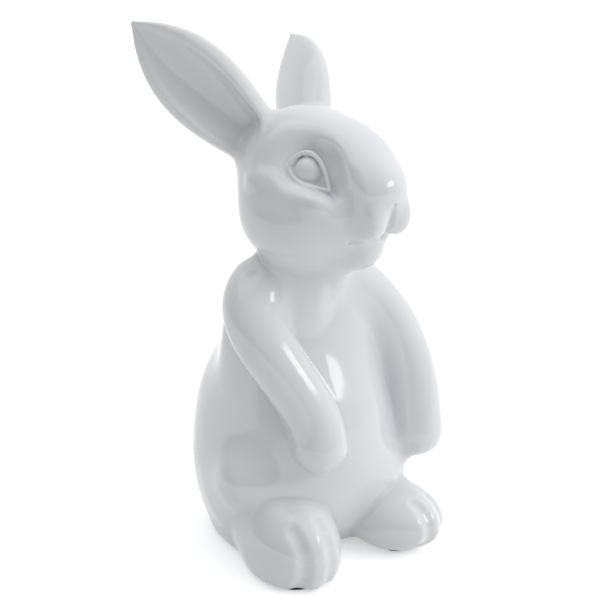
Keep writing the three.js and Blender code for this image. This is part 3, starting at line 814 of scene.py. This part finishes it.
def make_glaze():
    """White glaze: thin and a little warm on ridges, pooled and cooler in creases, faintly uneven."""
    material, tree, shader = new_material("glaze")
    pool = tree.nodes.new("ShaderNodeAttribute")
    pool.attribute_name = "pool"
    depth = map_node(tree, pool.outputs["Fac"], from_range=(-0.25, 0.25), to_range=(0, 1))
    thin, even, deep = (0.86, 0.86, 0.86), (0.83, 0.84, 0.85), (0.77, 0.785, 0.805)
    tint = ramp_node(tree, depth, [(0.0, thin), (0.5, even), (1.0, deep)])
    haze = noise_node(tree, scale=14, detail=3)
    cloud = ramp_node(tree, haze, [(0.3, (0.97, 0.975, 0.985)), (0.7, (1, 1, 1))])
    tree.links.new(mix_node(tree, "MULTIPLY", 1.0, tint, cloud), shader.inputs["Base Color"])
    patches = noise_node(tree, scale=55, detail=4)
    wear = map_node(tree, patches, from_range=(0.35, 0.7), to_range=(0.07, 0.12))
    tree.links.new(wear, shader.inputs["Roughness"])
    shader.inputs["IOR"].default_value = 1.52
    ripple = noise_node(tree, scale=90, detail=2)
    peel = bump_node(tree, ripple, strength=0.12, distance=0.0006)
    tree.links.new(peel, shader.inputs["Normal"])
    return material


def make_bisque():
    """Fired clay without glaze: grainy, matt and a little stained."""
    material, tree, shader = new_material("bisque")
    grain = noise_node(tree, scale=900, detail=6, rough=0.7)
    stain = noise_node(tree, scale=25, detail=3)
    sand = ramp_node(tree, grain, [(0.3, (0.6, 0.53, 0.44)), (0.7, (0.76, 0.69, 0.6))])
    warm = ramp_node(tree, stain, [(0.35, (0.86, 0.82, 0.76)), (0.65, (1, 1, 1))])
    tree.links.new(mix_node(tree, "MULTIPLY", 1.0, sand, warm), shader.inputs["Base Color"])
    shader.inputs["Roughness"].default_value = 0.92
    pores = bump_node(tree, grain, strength=0.5, distance=0.0004)
    tree.links.new(pores, shader.inputs["Normal"])
    return material


def make_felt():
    """Dark pressed felt: matted fibres with a soft sheen."""
    material, tree, shader = new_material("felt")
    fibre = noise_node(tree, scale=1600, detail=8, rough=0.75)
    matted = noise_node(tree, scale=140, detail=5, rough=0.6)
    dark = ramp_node(tree, fibre, [(0.3, (0.035, 0.035, 0.04)), (0.72, (0.1, 0.1, 0.105))])
    tuft = ramp_node(tree, matted, [(0.35, (0.75, 0.75, 0.76)), (0.65, (1, 1, 1))])
    tree.links.new(mix_node(tree, "MULTIPLY", 1.0, dark, tuft), shader.inputs["Base Color"])
    shader.inputs["Roughness"].default_value = 1.0
    shader.inputs["Sheen Weight"].default_value = 0.5
    shader.inputs["Sheen Roughness"].default_value = 0.6
    nap = bump_node(tree, fibre, strength=0.8, distance=0.0005)
    tree.links.new(nap, shader.inputs["Normal"])
    return material


glaze = make_glaze()
bisque = make_bisque()
felt = make_felt()

# Glazed pieces
glazed_pieces("torso", ON_TORSO, BODY_FINENESS, above=False)
glazed_pieces("head", ON_HEAD, HEAD_FINENESS, above=True)

# Slab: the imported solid, in fired clay
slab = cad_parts["base_slab"]
slab.data.materials.clear()
slab.data.materials.append(bisque)

# Felt sheets under the base and the feet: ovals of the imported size, rounded at the edge and dimpled
FELT_SPOKES = 180
FELT_RINGS = 24
FELT_ROUND = 0.5
FELT_DIMPLE = 0.12
FELT_WAVES = (0.9, 0.8)
FELT_SHIFT = 1


def felt_piece(node):
    low, high = box_of(node, 0)
    middle, half = (low + high) / 2, (high - low) / 2
    angles = np.linspace(0, 2 * np.pi, FELT_SPOKES, endpoint=False)
    rays = np.stack([np.cos(angles), np.sin(angles), np.zeros(FELT_SPOKES)], -1)
    shares = np.linspace(0, 1, FELT_RINGS + 1)[1:]
    rows = []
    for level in (FELT_THICK, 0.0):
        for share in shares if level else shares[::-1]:
            place = middle + share * (half - FELT_ROUND) * rays
            across = np.sin(FELT_WAVES[0] * place[:, 0])
            along = np.sin(FELT_WAVES[1] * place[:, 1] + FELT_SHIFT)
            dimple = FELT_DIMPLE * (across * along) ** 2 * (1 - share)
            place[:, 2] = level - dimple if level else dimple
            rows.append(place)
        if level:
            for height in (FELT_THICK - FELT_ROUND, FELT_ROUND):
                place = middle + half * rays
                place[:, 2] = height
                rows.append(place)
    tips = np.array([(*middle[:2], FELT_THICK), (*middle[:2], 0.0)])
    points = np.concatenate(rows + [tips])
    faces = []
    for i in range(FELT_SPOKES):
        j = (i + 1) % FELT_SPOKES
        faces.append((len(points) - 2, i, j))
        for k in range(len(rows) - 1):
            a, b = k * FELT_SPOKES + i, k * FELT_SPOKES + j
            faces.append((a, a + FELT_SPOKES, b + FELT_SPOKES, b))
        last = (len(rows) - 1) * FELT_SPOKES
        faces.append((len(points) - 1, last + j, last + i))
    mesh = bpy.data.meshes.new(f"{node}_cut")
    mesh.from_pydata((points / METRE).tolist(), [], faces)
    mesh.polygons.foreach_set("use_smooth", np.ones(len(faces), bool))
    piece = dressed(mesh, node, felt)


felt_piece("base_felt")
for felt_name in SIDES:
    felt_piece(f"foot_felt_{felt_name}")


# Studio: a white floor and backdrop, light from above and the left flank, and two soft boxes, in metres
def light_panel(name, place, aim_at, width, height, power):
    lamp = bpy.data.lights.new(name, "AREA")
    lamp.shape = "RECTANGLE"
    lamp.size = width
    lamp.size_y = height
    lamp.energy = power
    panel = bpy.data.objects.new(name, lamp)
    bpy.context.scene.collection.objects.link(panel)
    panel.location = place
    panel.rotation_euler = (Vector(aim_at) - Vector(place)).to_track_quat("-Z", "Y").to_euler()


light_panel("soft_box", (0.7, -1.0, 0.8), aim_at=(0, 0, 0.14), width=0.6, height=0.3, power=3.2)
light_panel("top_box", (-0.365, 0.365, 1.27), aim_at=(0, 0, 0.3), width=0.9, height=0.9, power=2)

FLOOR_SIZE = 8.0
FLOOR_COLOUR = (0.9, 0.9, 0.9, 1)
FLOOR_GLOW = (0.45, 0.45, 0.45, 1)
bpy.ops.mesh.primitive_plane_add(size=FLOOR_SIZE)
floor = bpy.context.object
floor.name = "floor"
paper, paper_tree, paper_shader = new_material("paper")
paper_shader.inputs["Base Color"].default_value = FLOOR_COLOUR
paper_shader.inputs["Roughness"].default_value = 1.0
paper_shader.inputs["Specular IOR Level"].default_value = 0.0
paper_glow = paper_tree.nodes.new("ShaderNodeEmission")
paper_sum = paper_tree.nodes.new("ShaderNodeAddShader")
paper_seen = math_node(paper_tree, "MAXIMUM", *seen_rays(paper_tree))
paper_tree.links.new(paper_seen, paper_glow.inputs["Strength"])
paper_glow.inputs["Color"].default_value = FLOOR_GLOW
paper_tree.links.new(paper_shader.outputs["BSDF"], paper_sum.inputs[0])
paper_tree.links.new(paper_glow.outputs["Emission"], paper_sum.inputs[1])
paper_tree.links.new(paper_sum.outputs["Shader"], paper_tree.nodes["Material Output"].inputs["Surface"])
floor.data.materials.append(paper)

FROM_LEFT_FLANK = 0.85
FROM_ABOVE = 0.86
BACKDROP_EDGE = 0.5
AIR_COLOUR = (0.97, 0.985, 1.0, 1)
world = bpy.data.worlds.new("studio")
bpy.context.scene.world = world
world.use_nodes = True
sky = world.node_tree
air = sky.nodes["Background"]
way = sky.nodes.new("ShaderNodeTexCoord").outputs["Generated"]
parts = sky.nodes.new("ShaderNodeSeparateXYZ")
sky.links.new(way, parts.inputs["Vector"])
beside = map_node(sky, parts.outputs["X"], from_range=(0, 1), to_range=(0, FROM_LEFT_FLANK))
overhead = map_node(sky, parts.outputs["Z"], from_range=(0, 1), to_range=(0, FROM_ABOVE))
behind = sky.nodes.new("ShaderNodeVectorMath")
behind.operation = "DOT_PRODUCT"
behind.inputs[1].default_value = aim.normalized()
sky.links.new(way, behind.inputs[0])
backdrop = map_node(sky, behind.outputs["Value"], from_range=(0, BACKDROP_EDGE), to_range=(0, 1))
strength = sky.nodes.new("ShaderNodeMix")
strength.inputs["B"].default_value = 1.0
straight, bent = seen_rays(sky)
white = math_node(sky, "MAXIMUM", straight, math_node(sky, "MULTIPLY", bent, backdrop))
sky.links.new(white, strength.inputs["Factor"])
sky.links.new(math_node(sky, "ADD", beside, overhead), strength.inputs["A"])
sky.links.new(strength.outputs["Result"], air.inputs["Strength"])
air.inputs["Color"].default_value = AIR_COLOUR

bpy.context.scene.view_settings.view_transform = "Standard"
